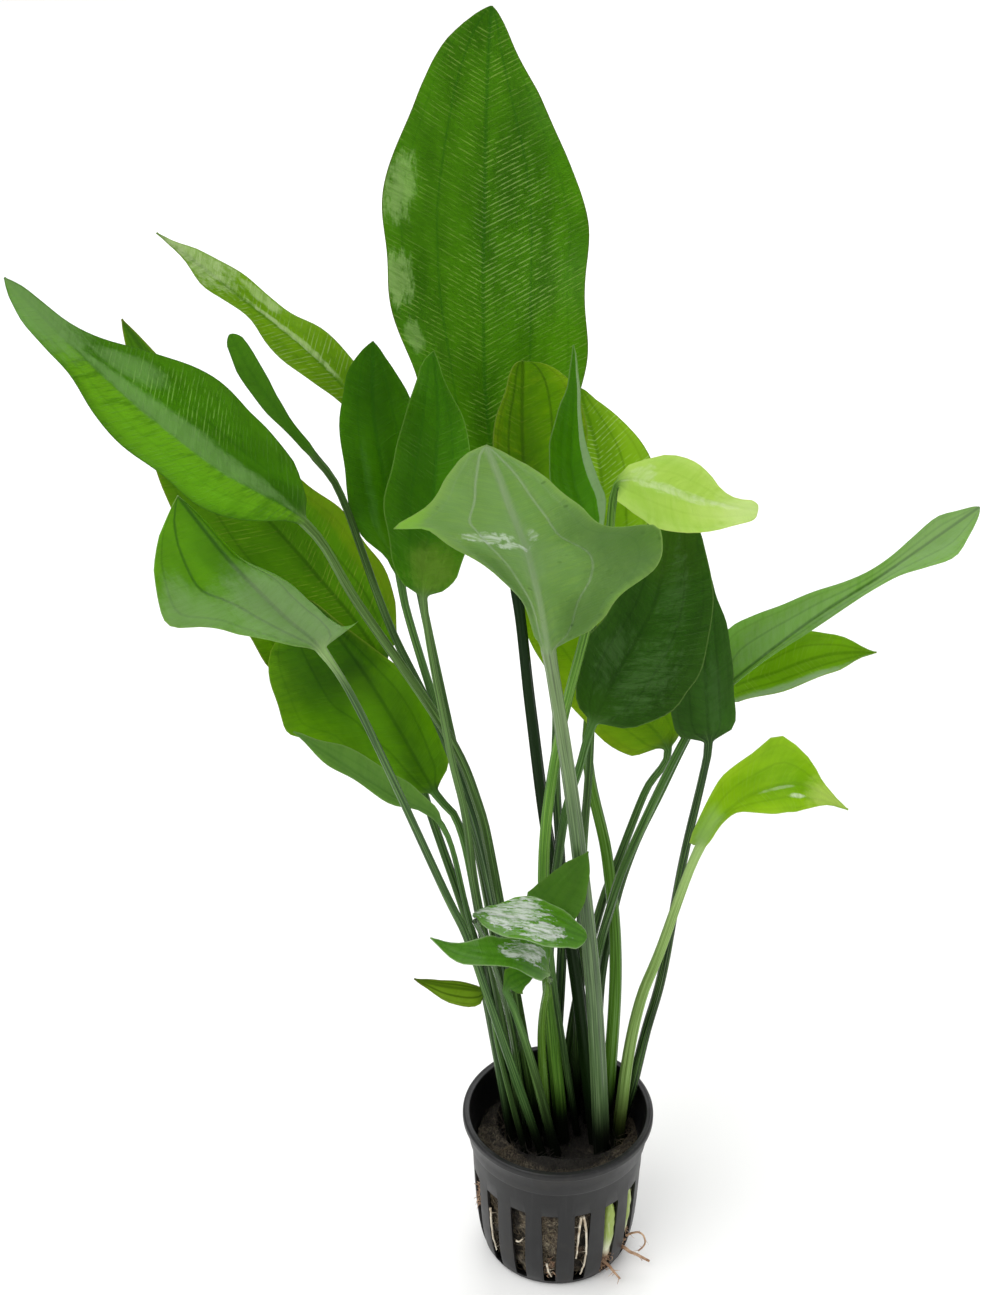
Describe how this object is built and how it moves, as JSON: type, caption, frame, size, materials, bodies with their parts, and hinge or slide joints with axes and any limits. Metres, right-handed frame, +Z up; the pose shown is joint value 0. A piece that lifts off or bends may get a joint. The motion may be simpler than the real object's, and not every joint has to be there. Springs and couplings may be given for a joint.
{
  "type": "echinodorus plant in net pot",
  "caption": "Aquarium sword plant: broad pointed leaves on long stalks, rooted in a stone wool plug inside a round slotted net pot.",
  "frame": {"origin": "centre of the net pot's flat underside, on the surface it stands on", "axes": "+Z up along the pot's axis, -Y towards the side from which the plant's front is seen, +X to its right"},
  "size_m": [0.2394, 0.1657, 0.3481],
  "materials": {
    "pot_plastic": "satin injection-moulded black plastic",
    "stone_wool": "damp brown matted mineral fibre",
    "leaf": "smooth waxy green leaf blade and stalk",
    "pale_leaf": "young yellow-green leaf blade and stalk",
    "shoot": "fresh green shoot, whitish at its foot",
    "white_root": "smooth cream root",
    "tan_root": "dry tan root"
  },
  "bodies": {
    "root": {"net_pot": "pot_plastic", "stone_wool": "stone_wool", "leaf_tall_back": "leaf", "leaf_far_left": "leaf", "leaf_upper_left": "leaf", "leaf_spoon": "leaf", "leaf_centre_left_rear": "leaf", "leaf_centre_left_front": "leaf", "leaf_front_large": "leaf", "leaf_left_rear": "leaf", "leaf_left_front": "leaf", "leaf_left_low": "leaf", "leaf_left_low_narrow": "leaf", "leaf_centre_rear_folded": "leaf", "leaf_centre_narrow": "leaf", "leaf_right_rear": "leaf", "leaf_pale": "pale_leaf", "leaf_right_dark": "leaf", "leaf_right_dark_rear": "leaf", "leaf_right_under": "leaf", "leaf_far_right": "leaf", "leaf_far_right_under": "leaf", "leaf_right_low": "pale_leaf", "leaf_small_upright": "leaf", "leaf_small_wet": "leaf", "leaf_small_pointed": "leaf", "leaf_small_left": "leaf", "leaf_small_hidden": "leaf", "side_shoot_front": "shoot", "side_shoot_right": "shoot", "root_fork_left": "white_root", "root_fork_right": "white_root", "root_far_left": "white_root", "root_across": "white_root", "root_low": "white_root", "root_curl": "tan_root", "root_thick": "tan_root", "root_short": "tan_root"}
  },
  "joints": []
}
